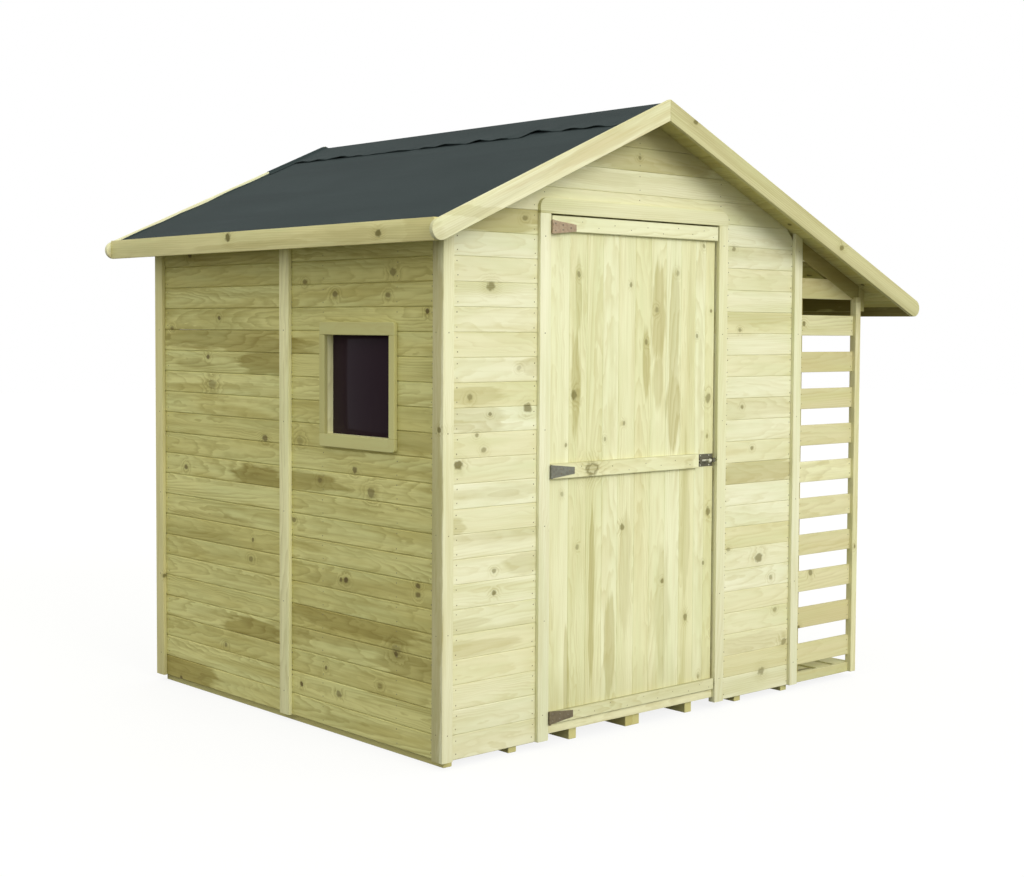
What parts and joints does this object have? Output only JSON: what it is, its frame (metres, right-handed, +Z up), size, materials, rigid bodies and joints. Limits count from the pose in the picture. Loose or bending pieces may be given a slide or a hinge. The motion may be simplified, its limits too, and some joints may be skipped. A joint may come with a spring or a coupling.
{
  "type": "garden shed",
  "caption": "Wooden garden shed with horizontal boarding, a ledged door, a small fixed window, a felted pitched roof and an open slatted wood store under the longer slope.",
  "frame": {"origin": "on the ground under the middle of the whole shed, roof overhangs included", "axes": "+X to the right along the front seen from outside, +Y from the front to the back, +Z up"},
  "size_m": [2.7408, 2.274, 2.395],
  "materials": {
    "wall_wood": "pressure-treated softwood, planed",
    "trim_wood": "pressure-treated softwood, planed",
    "door_wood": "pressure-treated softwood, planed",
    "frame_wood": "pressure-treated softwood, sawn",
    "felt": "bitumen felt with fine mineral",
    "ironwork": "zinc plated, dulled",
    "pane": "thin clear sheet, dark from outside"
  },
  "bodies": {
    "shed": {"floor": "frame_wood", "door_sill": "frame_wood", "front_wall_left": "wall_wood", "front_wall_right": "wall_wood", "front_gable": "wall_wood", "back_wall": "wall_wood", "left_wall_rear": "wall_wood", "left_wall_front": "wall_wood", "right_wall": "wall_wood", "window_frame": "trim_wood", "window_pane": "pane", "front_left_corner_trim": "trim_wood", "back_left_corner_trim": "trim_wood", "front_right_corner_trim": "trim_wood", "back_right_corner_trim": "trim_wood", "left_wall_batten": "trim_wood", "back_wall_batten": "trim_wood", "left_jamb_trim": "trim_wood", "right_jamb_trim": "trim_wood", "door_head_trim": "trim_wood", "roof_boards_left": "frame_wood", "roof_boards_right": "frame_wood", "roof_felt": "felt", "ridge_felt_strip": "felt", "left_eave_fascia": "trim_wood", "right_eave_fascia": "trim_wood", "front_left_barge": "trim_wood", "front_right_barge": "trim_wood", "back_left_barge": "trim_wood", "back_right_barge": "trim_wood", "middle_rafters": "frame_wood", "store_front_slats": "wall_wood", "store_back_slats": "wall_wood", "store_front_post": "trim_wood", "store_back_post": "trim_wood", "store_eave_beam": "frame_wood", "store_floor": "frame_wood", "hinge_leaf_top": "ironwork", "hinge_leaf_middle": "ironwork", "hinge_leaf_bottom": "ironwork"},
    "door": {"door_leaf": "door_wood", "hinge_strap_top": "ironwork", "hinge_strap_middle": "ironwork", "hinge_strap_bottom": "ironwork", "latch_plate": "ironwork"},
    "bolt": {"latch_bolt": "ironwork"}
  },
  "joints": [
    {"name": "door_hinge", "type": "hinge", "parent": "shed", "child": "door", "pos_m": [-0.7115, -1.0005, 1], "axis": [0, 0, -1], "range_deg": [0, 150]},
    {"name": "bolt_slide", "type": "slide", "parent": "door", "child": "bolt", "axis": [1, 0, 0], "range_m": [0, 0.022]}
  ]
}
